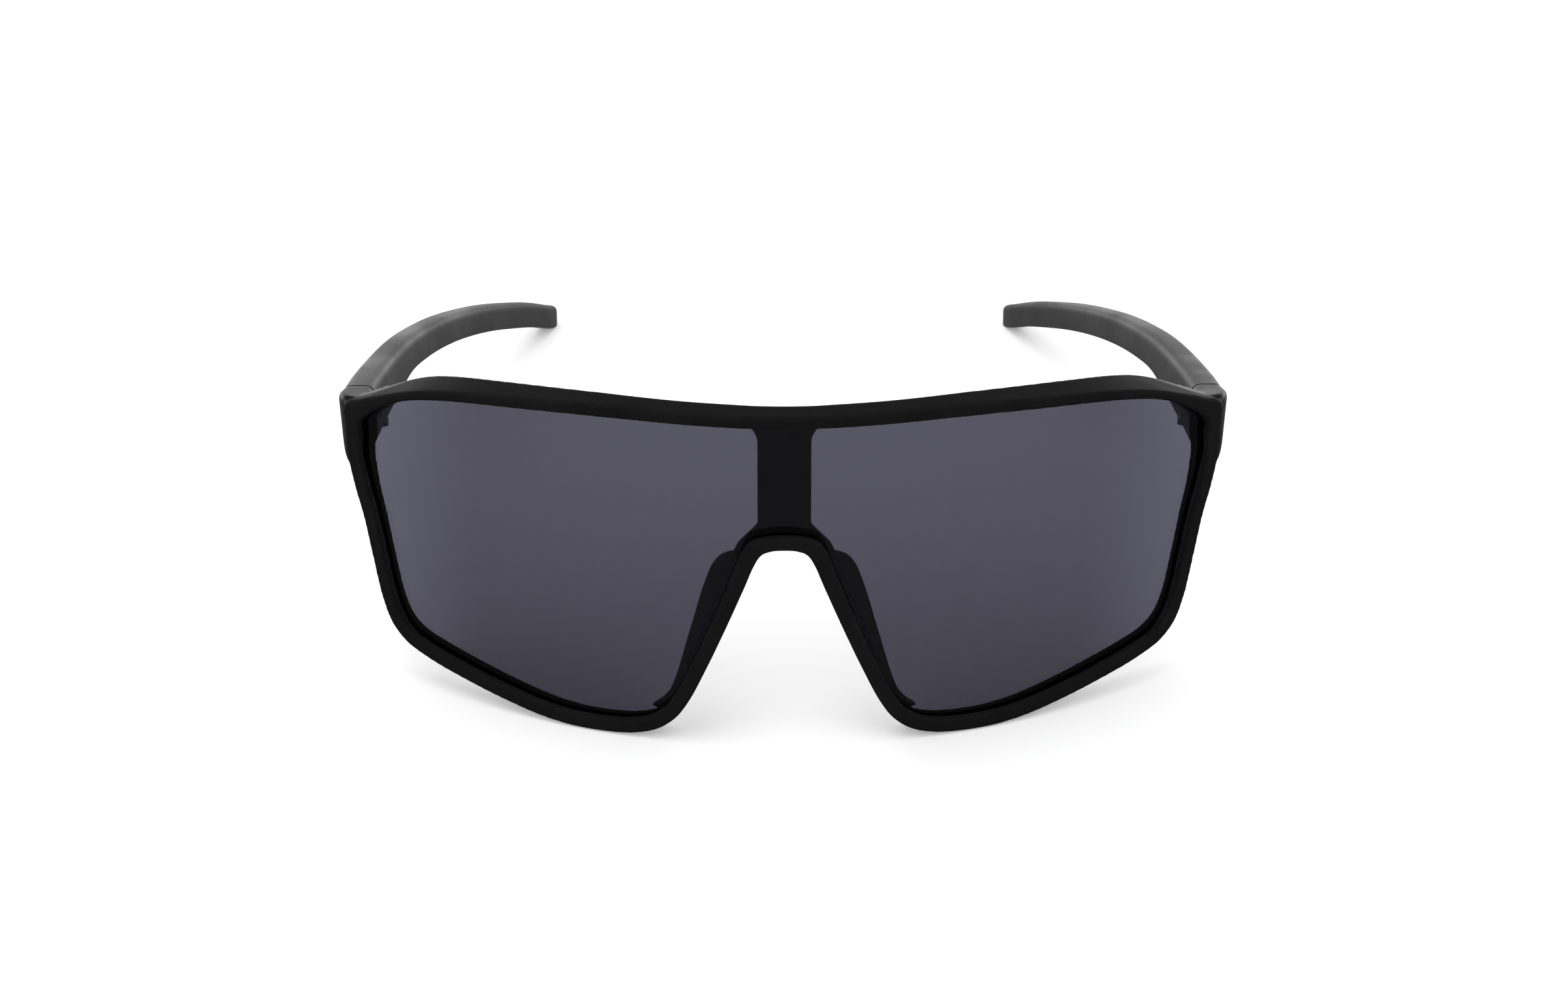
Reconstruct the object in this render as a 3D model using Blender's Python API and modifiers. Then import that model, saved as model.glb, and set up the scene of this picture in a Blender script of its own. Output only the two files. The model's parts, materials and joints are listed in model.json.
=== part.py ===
# Sports sunglasses: a full-rim front with one wrap lens, two folding temples and two soft nose pads.
# Metres. The pair stands open on a table: +Z up, the lens faces -Y, the temples run to +Y.
# The front is drawn flat (arc across, height up) and bent on a cylinder. It then leans back with
# the temples, so that the lower rims and the temple tips touch the table together.

import math

import bmesh
import bpy
import numpy as np
from mathutils import Matrix, Vector

# Driving sizes of the front
FRONT_RADIUS = 0.100          # the cylinder that the front is bent on
FRONT_HALF_ARC = 0.079        # middle to outer corner, along the bend
FRONT_HEIGHT = 0.0552         # lowest rim to highest brow
RIM_LIP = 0.0025              # width of the front lip on the lower rim
RIM_DEPTH = 0.0052            # front lip to back face
LIP_DEPTH = 0.0010            # wall of the lip in front of the lens
FLANGE_INSET = 0.0003         # the rear flange ends this far outside the lip's edge
BROW_SLOPE = 0.00035          # the brow's top falls this much from its back edge to its front edge
BROW_SLOPE_GROWTH = 2         # power of the rim's depth share that it grows with, towards the sides
RIM_ROUND = 0.0006            # rounding of the rim's outer edges
LIP_ROUND = 0.0004            # rounding of the rim's inner edges
LENS_THICKNESS = 0.0020
FIT_GAP = 0.0003              # clearance between pieces that touch

# Middle bar behind the lens, with the nose flange below it
BAR_WIDTH = 0.0085
BAR_FILLET = 0.0030
BAR_RECESS = 0.0002           # how far the bar's back lies inside the rim's back face
NOSE_FLANGE = 0.0009          # width of the flange past the nose lip
NOSE_GUSSET = 0.0030          # reach of the slanted web between bar and nose flange

# Nose pads
PAD_BASE = 0.0026             # width where the pad meets the frame
PAD_INSET = 0.0007            # nose edge to pad
PAD_REACH = 0.0044            # how far the blade splays outwards
PAD_DEPTH = 0.0086            # how far the blade runs back
PAD_EDGE = 0.0014             # thickness of the blade's free edge

# End pieces and temples
JOINT_SETBACK = 0.0085        # rim's outer corner back to the joint between end piece and temple
JOINT_OUTSET = 0.0007         # outer face at the joint past the rim's outer corner
JOINT_DROP = 0.0001           # top of the joint below the rim's outer corner
TEMPLE_SLOPE = math.radians(6.4)      # the temples fall this much to the rear of the front
TEMPLE_LENGTH = 0.1220        # hinge axis to tip
TEMPLE_INWARD = 0.0243        # how far the tip curves in
TEMPLE_DROP = 0.0117          # how far the tip's top falls below the temple line
TEMPLE_ROOT_HEIGHT = 0.0109
TEMPLE_THICKNESS = 0.0051     # at the joint
TEMPLE_EDGE_ROUND = 0.0013
JOINT_DRAFT = 0.0009          # lower edge of the outer face inside its upper edge, at the joint
CORNER_CUT_WIDTH = 0.0006     # extra rounding of the end piece's lower outer edge, across
CORNER_CUT_HEIGHT = 0.0028    # the same, upwards
END_PIECE_BITE = 0.0003       # how far the end piece runs forward past the corner

# Hinges
HINGE_DROP = 0.0041           # top of the joint down to the middle of the hinge
BARREL_RADIUS = 0.0012
BARREL_OFFSET = BARREL_RADIUS + FIT_GAP       # hinge axis to the temple's inner face
SIDE_KNUCKLE = 0.0013         # height of each knuckle on the front leaf
MIDDLE_KNUCKLE = 0.0015       # height of the knuckle on the temple leaf
LEAF_THICKNESS = 0.0008
FRONT_LEAF_LENGTH = 0.0036
TEMPLE_LEAF_LENGTH = 0.0088
TEMPLE_LEAF_HEIGHT = 0.0040
HINGE_SCREW_RADIUS = 0.0005
HINGE_HEAD_RADIUS = 0.0010
HINGE_HEAD_HEIGHT = 0.0006
LEAF_SCREW_RADIUS = 0.00045
LEAF_HEAD_RADIUS = 0.0008
LEAF_HEAD_HEIGHT = 0.0004
LEAF_SCREW_LENGTH = 0.0030
LEAF_SCREW_SPREAD = 0.0013    # front leaf: each screw above or below the middle
FRONT_SCREW_SETBACK = 0.0026  # hinge axis to the screws of the front leaf
TEMPLE_SCREW_SETBACK = 0.0037     # hinge axis to the first screw of the temple leaf
TEMPLE_SCREW_PITCH = 0.0032
SCREW_SLOT = 0.0003

# Resting on a table
REST_FLAT = 0.0004            # depth of the small flats that the pair stands on

# Fineness of the curves
RIM_STEPS = 2
TEMPLE_STEPS = 2
PAD_STEPS = 2
CORNER_STEPS = 2
ROUND_SIDES = 16
STRIP_WIDTH = 0.005           # the bent panels are folded this often
CUT_OVERRUN = 0.0010          # how far a cutter runs past what it cuts

# One row for each turn of the rim, from the middle of the brow round to the nose arch:
# arc share, height share, direction of the lens from there in degrees, shares of the lip's width and
# of the rim's depth, which grows towards the end pieces
RIM_SHARES = [
    (0.000, 0.987, 270, 0.91, 1.00),
    (0.177, 0.993, 270, 0.91, 1.00),
    (0.380, 1.000, 270, 0.92, 1.04),
    (0.532, 0.992, 268, 0.87, 1.20),
    (0.652, 0.981, 264, 0.85, 1.28),
    (0.734, 0.968, 259, 0.86, 1.38),
    (0.816, 0.945, 253, 0.88, 1.52),
    (0.892, 0.911, 244, 1.04, 1.60),
    (0.953, 0.876, 231, 1.38, 1.50),
    (0.999, 0.843, 217, 1.88, 1.30),
    (0.996, 0.774, 195, 1.50, 1.12),
    (0.994, 0.701, 180, 1.28, 1.00),
    (0.974, 0.596, 168, 1.10, 0.93),
    (0.950, 0.508, 166, 1.02, 0.89),
    (0.927, 0.390, 164, 1.00, 0.88),
    (0.902, 0.266, 162, 1.00, 0.88),
    (0.877, 0.197, 150, 1.00, 0.90),
    (0.839, 0.151, 132, 1.00, 0.94),
    (0.778, 0.118, 115, 1.00, 0.98),
    (0.684, 0.082, 106, 1.00, 1.00),
    (0.592, 0.048, 105, 1.00, 1.00),
    (0.500, 0.017, 101, 1.00, 1.00),
    (0.430, 0.003, 95, 1.00, 1.00),
    (0.361, 0.000, 90, 1.00, 1.00),
    (0.304, 0.005, 82, 1.00, 1.00),
    (0.256, 0.024, 66, 1.00, 1.00),
    (0.220, 0.060, 48, 1.00, 1.00),
    (0.193, 0.113, 33, 1.00, 1.00),
    (0.156, 0.219, 25, 1.00, 1.00),
    (0.115, 0.350, 24, 1.00, 1.00),
    (0.076, 0.482, 24, 1.04, 1.00),
    (0.060, 0.538, 35, 1.12, 1.00),
    (0.045, 0.571, 51, 1.14, 1.00),
    (0.025, 0.583, 74, 1.00, 1.00),
    (0.000, 0.586, 90, 0.96, 1.00),
]
LENS_SEAT_SHARE = 0.5         # the lens edge lies this far under the lip
BROW_SEAT_SHARE = 0.7         # the same under the brow, whose lip is narrow
LIP_CREST_SHARE = 0.3         # where the rounding's middle point lies

# Nose side of the rim, from the arch down, for the pad:
# height share, share of the blade's reach, share of its depth
PAD_SHARES = [
    (0.556, 0.10, 0.10),
    (0.530, 0.62, 0.42),
    (0.490, 0.90, 0.72),
    (0.440, 1.00, 0.92),
    (0.370, 0.97, 1.00),
    (0.300, 0.86, 1.00),
    (0.240, 0.74, 0.90),
    (0.185, 0.58, 0.74),
    (0.130, 0.38, 0.50),
    (0.085, 0.18, 0.24),
]
PAD_WAIST_SHARE = 0.45

# Temple from the joint to the tip: shares of its length, inward curve, drop, height and thickness
TEMPLE_SHARES = [
    (0.000, 0.000, 0.000, 1.000, 1.000),
    (0.066, 0.006, 0.004, 0.935, 0.990),
    (0.197, 0.046, 0.009, 0.745, 0.960),
    (0.311, 0.101, 0.022, 0.562, 0.920),
    (0.410, 0.171, 0.066, 0.515, 0.880),
    (0.525, 0.274, 0.145, 0.492, 0.845),
    (0.639, 0.403, 0.269, 0.470, 0.805),
    (0.738, 0.539, 0.401, 0.462, 0.785),
    (0.820, 0.673, 0.541, 0.457, 0.765),
    (0.902, 0.820, 0.703, 0.450, 0.745),
    (0.967, 0.940, 0.878, 0.435, 0.725),
    (0.994, 0.987, 0.957, 0.375, 0.640),
    (1.000, 1.000, 1.000, 0.285, 0.460),
]

# End piece from inside the rim back to the joint: length share, outer face and inner face in shares of
# the temple's thickness inwards of the joint's own, share of the height below the temple line, share of
# the cut at the lower outer corner
END_PIECE_SHARES = [
    (1.000, 0.42, 0.16, 1.08, 1.00),
    (0.820, 0.12, 0.12, 1.14, 1.00),
    (0.500, -0.06, 0.00, 1.16, 1.00),
    (0.250, -0.05, 0.00, 1.08, 0.55),
    (0.000, 0.00, 0.00, 1.00, 0.00),
]

# How the draft of the outer face fades along the temple: share of the length, share of the draft
DRAFT_SHARES = [(0.000, 1.00), (0.200, 0.80), (0.400, 0.25), (0.550, 0.00)]

BLACK_NYLON = ("black_nylon", (0.011, 0.011, 0.012), 0.55, 0.0)
SMOKE_LENS = ("smoke_lens", (0.090, 0.088, 0.115), 0.06, 0.0)
BLACK_RUBBER = ("black_rubber", (0.013, 0.013, 0.014), 0.75, 0.0)
HINGE_METAL = ("hinge_metal", (0.120, 0.120, 0.125), 0.35, 1.0)


# Scene and objects

def clear_scene():
    for item in list(bpy.data.objects):
        bpy.data.objects.remove(item)


def new_collection(name):
    collection = bpy.data.collections.new(name)
    bpy.context.scene.collection.children.link(collection)
    return collection


def make_material(finish):
    name, colour, roughness, metallic = finish
    material = bpy.data.materials.get(name)
    if material is None:
        material = bpy.data.materials.new(name)
        material.use_nodes = True
        shader = material.node_tree.nodes["Principled BSDF"]
        shader.inputs["Base Color"].default_value = (*colour, 1.0)
        shader.inputs["Roughness"].default_value = roughness
        shader.inputs["Metallic"].default_value = metallic
        material.diffuse_color = (*colour, 1.0)
    return material


def add_object(name, mesh, parent, finish=None):
    item = bpy.data.objects.new(name, mesh)
    item.parent = parent
    if finish is None:
        cutters.objects.link(item)
        item.hide_render = True
        item.display_type = "WIRE"
    else:
        parts.objects.link(item)
        mesh.materials.append(make_material(finish))
        mesh.set_sharp_from_angle(angle=math.radians(35))
    return item


def finish_mesh(name, bm):
    bmesh.ops.recalc_face_normals(bm, faces=bm.faces)
    mesh = bpy.data.meshes.new(name)
    bm.to_mesh(mesh)
    bm.free()
    mesh.shade_smooth()
    return mesh


def combine(item, operation, other):
    modifier = item.modifiers.new(operation.lower(), "BOOLEAN")
    modifier.operation = operation
    modifier.solver = "EXACT"
    modifier.object = other


def add_frame(name, parent, matrix):
    empty = bpy.data.objects.new(name, None)
    empty.empty_display_size = BAR_WIDTH
    empty.parent = parent
    empty.matrix_local = matrix
    parts.objects.link(empty)
    return empty


# Curves and sections

def curve_through(rows, steps, closed):
    """Points on a smooth curve through the rows, with the same number of steps between each two."""
    rows = [np.array(row, dtype=float) for row in rows]
    count = len(rows)
    points = []
    for i in range(count if closed else count - 1):
        p1, p2 = rows[i], rows[(i + 1) % count]
        p0 = rows[i - 1] if closed or i > 0 else 2 * p1 - p2
        p3 = rows[(i + 2) % count] if closed or i + 2 < count else 2 * p2 - p1
        d0, d1, d2 = (math.sqrt(np.linalg.norm(b - a)) for a, b in ((p0, p1), (p1, p2), (p2, p3)))
        m1 = (p2 - p1) - d1 * ((p2 - p0) / (d0 + d1) - (p1 - p0) / d0)
        m2 = (p2 - p1) + d1 * ((p3 - p2) / d2 - (p3 - p1) / (d1 + d2))
        for k in range(steps):
            t = k / steps
            points.append(p1 + t * (m1 + t * (3 * (p2 - p1) - 2 * m1 - m2
                                              + t * (2 * (p1 - p2) + m1 + m2))))
    if not closed:
        points.append(rows[-1])
    return points


def rounded_section(left, right, bottom, top, rounds, draft):
    """A rectangle with its own rounding, across and up, at each corner from the lower left one round.
    The draft brings the lower end of the right side in."""
    corners = [(left, bottom, 1, 1, 180), (right, bottom, -1, 1, 270),
               (right, top, -1, -1, 0), (left, top, 1, -1, 90)]
    points = []
    for (x, y, inward, upward, start), (wide, tall) in zip(corners, rounds):
        for k in range(CORNER_STEPS + 1):
            angle = math.radians(start + 90 * k / CORNER_STEPS)
            across, height = x + wide * (inward + math.cos(angle)), y + tall * (upward + math.sin(angle))
            across -= draft * (across - left) / (right - left) * (top - height) / (top - bottom)
            points.append((across, height))
    return points


def loft(name, sections, closed=False):
    """Skin over a row of sections that have as many points each, capped unless it closes on itself."""
    bm = bmesh.new()
    rings = [[bm.verts.new(point) for point in section] for section in sections]
    count = len(rings[0])
    last = len(rings) if closed else len(rings) - 1
    for i in range(last):
        a, b = rings[i], rings[(i + 1) % len(rings)]
        for k in range(count):
            n = (k + 1) % count
            bm.faces.new((a[k], a[n], b[n], b[k]))
    if not closed:
        bm.faces.new(rings[0][::-1])
        bm.faces.new(rings[-1])
    return finish_mesh(name, bm)


def box_mesh(name, low, high):
    bm = bmesh.new()
    bmesh.ops.create_cube(bm, size=1.0)
    low, high = Vector(low), Vector(high)
    for vert in bm.verts:
        vert.co = [(a + b) / 2 + c * (b - a) for a, b, c in zip(low, high, vert.co)]
    return finish_mesh(name, bm)


def cylinder_mesh(name, radius, bottom, top, turn=None):
    bm = bmesh.new()
    bmesh.ops.create_cone(bm, cap_ends=True, segments=ROUND_SIDES, radius1=radius, radius2=radius,
                          depth=top - bottom)
    bmesh.ops.translate(bm, verts=bm.verts, vec=(0, 0, (top + bottom) / 2))
    if turn is not None:
        bmesh.ops.transform(bm, matrix=turn, verts=bm.verts)
    return finish_mesh(name, bm)


# Front: the flat drawing and its bend

def bend(arc, height, depth):
    radius = FRONT_RADIUS - depth
    angle = arc / FRONT_RADIUS
    return Vector((radius * math.sin(angle), FRONT_RADIUS - radius * math.cos(angle), height))


def rim_stations(steps):
    """Outer edge, lens side of the lip and depth, all the way round, in the flat drawing."""
    rows = []
    for arc, height, direction, lip, depth in RIM_SHARES:
        arc, height, lip = arc * FRONT_HALF_ARC, height * FRONT_HEIGHT, lip * RIM_LIP
        angle = math.radians(direction)
        rows.append((arc, height, arc + lip * math.cos(angle), height + lip * math.sin(angle),
                     depth * RIM_DEPTH))
    mirrored = [(-a, b, -c, d, e) for a, b, c, d, e in rows[-2:0:-1]]
    points = curve_through(rows + mirrored, steps, closed=True)
    return [(Vector(p[:2]), Vector(p[2:4]), float(p[4])) for p in points]


def overhead(outer, inner):
    """How much the rim lies above the lens here: 1 on the brow, 0 at the sides and below."""
    return max(0.0, (outer - inner).normalized().y)


def lens_outline(clearance):
    points = []
    for outer, inner, _ in rim_stations(RIM_STEPS):
        above = overhead(outer, inner)
        seat = outer.lerp(inner, LENS_SEAT_SHARE + above * (BROW_SEAT_SHARE - LENS_SEAT_SHARE))
        points.append(seat - clearance * (inner - outer).normalized())
    return points


def bent_panel(name, outline, front, back, shift=0.0):
    """A flat outline given a thickness and bent with the front, folded at every strip width."""
    bm = bmesh.new()
    bm.faces.new([bm.verts.new((p[0], p[1], 0)) for p in outline])
    reach = max(abs(p[0]) for p in outline)
    folds = int(reach / STRIP_WIDTH)
    for k in range(-folds - 1, folds + 1):
        geometry = bm.verts[:] + bm.edges[:] + bm.faces[:]
        bmesh.ops.bisect_plane(bm, geom=geometry, dist=FIT_GAP / 100, plane_no=(1, 0, 0),
                               plane_co=(k * STRIP_WIDTH + shift, 0, 0))
    bmesh.ops.triangulate(bm, faces=bm.faces)
    result = bmesh.ops.extrude_face_region(bm, geom=bm.faces[:])
    rear = {item for item in result["geom"] if isinstance(item, bmesh.types.BMVert)}
    for vert in bm.verts:
        vert.co = bend(vert.co.x, vert.co.y, back if vert in rear else front)
    return finish_mesh(name, bm)


LENS_FRONT = LIP_DEPTH + FIT_GAP
LENS_BACK = LENS_FRONT + LENS_THICKNESS
POCKET_BACK = LENS_BACK + FIT_GAP


def rim_section(outer, inner, depth):
    """The rim's solid outline at one station, before the lens groove is cut."""
    lip = (inner - outer).length
    flange = lip - FLANGE_INSET
    middle = (LENS_FRONT + LENS_BACK) / 2
    crest, inner_crest = LIP_CREST_SHARE * RIM_ROUND, LIP_CREST_SHARE * LIP_ROUND
    edge = BROW_SLOPE * overhead(outer, inner) * (depth / RIM_DEPTH) ** BROW_SLOPE_GROWTH
    shape = [
        (0, depth - RIM_ROUND), (edge, RIM_ROUND), (edge + crest, crest), (edge + RIM_ROUND, 0),
        (lip - LIP_ROUND, 0), (lip - inner_crest, inner_crest), (lip, LIP_ROUND), (lip, middle),
        (flange, middle), (flange, depth - LIP_ROUND), (flange - LIP_ROUND, depth),
        (RIM_ROUND, depth), (crest, depth - crest),
    ]
    inward = (inner - outer).normalized()
    points = [outer + across * inward for across, _ in shape]
    return [bend(p.x, p.y, back) for p, (_, back) in zip(points, shape)]


def nose_side(stations):
    """The stations of the right side of the nose, from the arch's middle down to the lowest rim."""
    lowest = min(range(len(stations) // 2), key=lambda i: stations[i][0].y)
    return stations[lowest:len(stations) // 2 + 1][::-1]


def bar_outline():
    """Half outline of the middle bar and nose flange, which tapers out at its foot, then mirrored."""
    stations = nose_side(rim_stations(RIM_STEPS))
    foot = RIM_LIP + NOSE_FLANGE
    lip = RIM_SHARES[0][3] * RIM_LIP
    brow = RIM_SHARES[0][1] * FRONT_HEIGHT - lip
    half = BAR_WIDTH / 2
    right = [(half + BAR_FILLET, brow + LENS_SEAT_SHARE * lip)]
    for k in range(CORNER_STEPS + 1):
        angle = math.radians(90 + 90 * k / CORNER_STEPS)
        right.append((half + BAR_FILLET * (1 + math.cos(angle)),
                      brow - BAR_FILLET * (1 - math.sin(angle))))
    flange = []
    for outer, inner, _ in stations:
        point = inner + NOSE_FLANGE * (inner - outer).normalized()
        if point.x > half + NOSE_GUSSET and inner.y > foot:
            flange.append(tuple(point))
    right.append((half, flange[0][1] + flange[0][0] - half))
    right += flange
    right += [tuple(outer.lerp(inner, LENS_SEAT_SHARE)) for outer, inner, _ in stations[::-1]
              if inner.y > foot + NOSE_FLANGE and outer.x > 0]
    return right + [(0, stations[0][0].lerp(stations[0][1], LENS_SEAT_SHARE).y)] \
        + [(-x, y) for x, y in right[::-1]]


# Frame of a hinge: origin on its axis at mid height, +X outwards, +Y along the temple, +Z up the axis

CORNER_ARC_SHARE, CORNER_HEIGHT_SHARE = max(RIM_SHARES)[:2]
CORNER = bend(CORNER_ARC_SHARE * FRONT_HALF_ARC, CORNER_HEIGHT_SHARE * FRONT_HEIGHT, 0)
AXIS_OUT = CORNER.x + JOINT_OUTSET - TEMPLE_THICKNESS - BARREL_OFFSET
END_PIECE_LENGTH = JOINT_SETBACK + END_PIECE_BITE


def hinge_matrix(side):
    tilt = Matrix.Rotation(-TEMPLE_SLOPE, 4, "X")
    top = Vector((side * AXIS_OUT, CORNER.y + JOINT_SETBACK, CORNER.z - JOINT_DROP))
    return Matrix.Translation(top) @ tilt @ Matrix.Translation((0, 0, -HINGE_DROP))


def end_piece(side):
    """Block from the rim's corner back to the joint with the temple."""
    sections = []
    for along, outer, inner, below, cut in END_PIECE_SHARES:
        y = -along * END_PIECE_LENGTH - FIT_GAP / 2
        right = BARREL_OFFSET + TEMPLE_THICKNESS * (1 - outer)
        left = BARREL_OFFSET - TEMPLE_THICKNESS * inner
        crisp, soft = (LIP_ROUND, LIP_ROUND), (TEMPLE_EDGE_ROUND, TEMPLE_EDGE_ROUND)
        low = (TEMPLE_EDGE_ROUND + cut * CORNER_CUT_WIDTH, TEMPLE_EDGE_ROUND + cut * CORNER_CUT_HEIGHT)
        shape = rounded_section(left, right, HINGE_DROP - below * TEMPLE_ROOT_HEIGHT, HINGE_DROP,
                                (crisp, low, soft, soft), JOINT_DRAFT)
        sections.append([hinge_matrix(side) @ Vector((side * x, y, z)) for x, z in shape])
    return loft("end_piece_blank", sections)


def leaf_screw_places():
    """Places of the leaf screws in the hinge's frame: front leaf, then temple leaf."""
    front = [(-FRONT_SCREW_SETBACK, z) for z in (LEAF_SCREW_SPREAD, -LEAF_SCREW_SPREAD)]
    rear = [(TEMPLE_SCREW_SETBACK + k * TEMPLE_SCREW_PITCH, 0) for k in range(2)]
    return front, rear


def screw_hole(side, place, parent):
    """Cutter for one leaf screw, from inside the barrel's line out into the moulding."""
    turn = Matrix.Translation((0, place[0], place[1])) @ Matrix.Rotation(side * math.pi / 2, 4, "Y")
    end = BARREL_OFFSET - FIT_GAP - LEAF_THICKNESS + LEAF_SCREW_LENGTH + FIT_GAP
    mesh = cylinder_mesh("screw_hole", LEAF_SCREW_RADIUS + FIT_GAP, 0, end, turn)
    return add_object("screw_hole", mesh, parent)


def make_front(stand, hinge_places):
    sections = [rim_section(*station) for station in rim_stations(RIM_STEPS)]
    frame = add_object("front_frame", loft("front_frame", sections, closed=True), stand, BLACK_NYLON)
    bar = bent_panel("bar_blank", bar_outline(), LENS_BACK, RIM_DEPTH - BAR_RECESS, STRIP_WIDTH / 2)
    combine(frame, "UNION", add_object("bar_blank", bar, stand))
    for side in (1, -1):
        combine(frame, "UNION", add_object("end_piece_blank", end_piece(side), stand))
    pocket = bent_panel("lens_pocket", lens_outline(FIT_GAP), LIP_DEPTH, POCKET_BACK)
    combine(frame, "DIFFERENCE", add_object("lens_pocket", pocket, stand))
    for side, place in hinge_places.items():
        for spot in leaf_screw_places()[0]:
            combine(frame, "DIFFERENCE", screw_hole(side, spot, place))
    return frame


def make_lens(stand):
    mesh = bent_panel("shield_lens", lens_outline(0), LENS_FRONT, LENS_BACK)
    return add_object("shield_lens", mesh, stand, SMOKE_LENS)


# Nose pads

def make_pad(name, side, stand):
    stations = nose_side(rim_stations(RIM_STEPS))
    heights = [station[0].y for station in stations][::-1]
    arcs = [station[0].x for station in stations][::-1]
    seat = RIM_DEPTH + FIT_GAP
    sections = []
    for height, reach, depth in curve_through(PAD_SHARES, PAD_STEPS, closed=False):
        z = height * FRONT_HEIGHT
        start = float(np.interp(z, heights, arcs)) + PAD_INSET
        out, back = reach * PAD_REACH, depth * PAD_DEPTH
        edge = min(PAD_EDGE, back)
        shape = [
            (start, seat),
            (start + PAD_WAIST_SHARE * out, seat + back / 2),
            (start + out, seat + back - edge / 4),
            (start + out + edge / 3, seat + back),
            (start + out + edge, seat + back - edge / 3),
            (start + PAD_BASE + PAD_WAIST_SHARE * out, seat + back / 2 - edge / 4),
            (start + PAD_BASE, seat),
        ]
        sections.append([bend(side * arc, z, depth) for arc, depth in shape])
    return add_object(name, loft(name, sections), stand, BLACK_RUBBER)


# Temples

def make_temple(name, side, hinge):
    rows = []
    for along, inward, drop, height, thickness in TEMPLE_SHARES:
        y = FIT_GAP / 2 + along * (TEMPLE_LENGTH - FIT_GAP / 2)
        thick = thickness * TEMPLE_THICKNESS
        outer = BARREL_OFFSET + TEMPLE_THICKNESS - inward * TEMPLE_INWARD
        draft = JOINT_DRAFT * float(np.interp(along, *zip(*DRAFT_SHARES)))
        rows.append((outer - thick / 2, y, HINGE_DROP - drop * TEMPLE_DROP,
                     height * TEMPLE_ROOT_HEIGHT, thick, draft))
    rows = curve_through(rows, TEMPLE_STEPS, closed=False)
    sections = []
    for i, (x, y, top, height, thick, draft) in enumerate(rows):
        before, after = rows[max(i - 1, 0)], rows[min(i + 1, len(rows) - 1)]
        turn = math.atan2(before[0] - after[0], after[1] - before[1]) if i else 0.0
        soft = min(TEMPLE_EDGE_ROUND, thick / 3, height / 3)
        crisp = min(LIP_ROUND, soft)
        shape = rounded_section(-thick / 2, thick / 2, top - height, top,
                                [(size, size) for size in (crisp, soft, soft, soft)], draft)
        sections.append([Vector((side * (x + a * math.cos(turn)), y + a * math.sin(turn), z))
                         for a, z in shape])
    temple = add_object(name, loft(name, sections), hinge, BLACK_NYLON)
    for spot in leaf_screw_places()[1]:
        combine(temple, "DIFFERENCE", screw_hole(side, spot, hinge))
    return temple


# Hinges

def leaf(name, side, hinge, knuckles, plate, arms, spots):
    """A plate with arms to its knuckles, bored for the hinge screw and the leaf screws."""
    outer = BARREL_OFFSET - FIT_GAP
    low, high = plate
    mesh = box_mesh(name, (side * (outer - LEAF_THICKNESS), low[0], low[1]),
                    (side * outer, high[0], high[1]))
    item = add_object(name, mesh, hinge, HINGE_METAL)
    for (bottom, top), (start, end) in zip(knuckles, arms):
        arm = box_mesh("arm", (side * (outer - LEAF_THICKNESS), start, bottom), (side * outer, end, top))
        combine(item, "UNION", add_object("leaf_arm", arm, hinge))
        barrel = cylinder_mesh("barrel", BARREL_RADIUS, bottom, top)
        combine(item, "UNION", add_object("leaf_barrel", barrel, hinge))
    reach = SIDE_KNUCKLE + MIDDLE_KNUCKLE + CUT_OVERRUN
    bore = cylinder_mesh("bore", HINGE_SCREW_RADIUS + FIT_GAP, -reach, reach)
    combine(item, "DIFFERENCE", add_object("leaf_bore", bore, hinge))
    for spot in spots:
        combine(item, "DIFFERENCE", screw_hole(side, spot, hinge))
    return item


def turned_screw(name, head_radius, head_height, radius, length):
    """A flat-headed screw on +Z: the head's underside at 0, the shank going down."""
    profile = [(0, head_height), (head_radius, head_height), (head_radius, 0), (radius, 0),
               (radius, -length), (0, -length)]
    mesh = bpy.data.meshes.new(name)
    mesh.from_pydata([(x, 0, z) for x, z in profile], [(i, i + 1) for i in range(len(profile) - 1)], [])
    return mesh


def add_screw(name, mesh, parent, matrix, head_radius, head_height):
    item = add_object(name, mesh, parent, HINGE_METAL)
    item.matrix_local = matrix
    lathe = item.modifiers.new("turn", "SCREW")
    lathe.steps = lathe.render_steps = ROUND_SIDES
    lathe.use_merge_vertices = True
    lathe.merge_threshold = FIT_GAP / 100
    slot = box_mesh("slot", (-head_radius - CUT_OVERRUN, -SCREW_SLOT / 2, head_height / 2),
                    (head_radius + CUT_OVERRUN, SCREW_SLOT / 2, head_height + CUT_OVERRUN))
    cutter = add_object("screw_slot", slot, parent)
    cutter.matrix_local = matrix
    combine(item, "DIFFERENCE", cutter)
    return item


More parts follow.
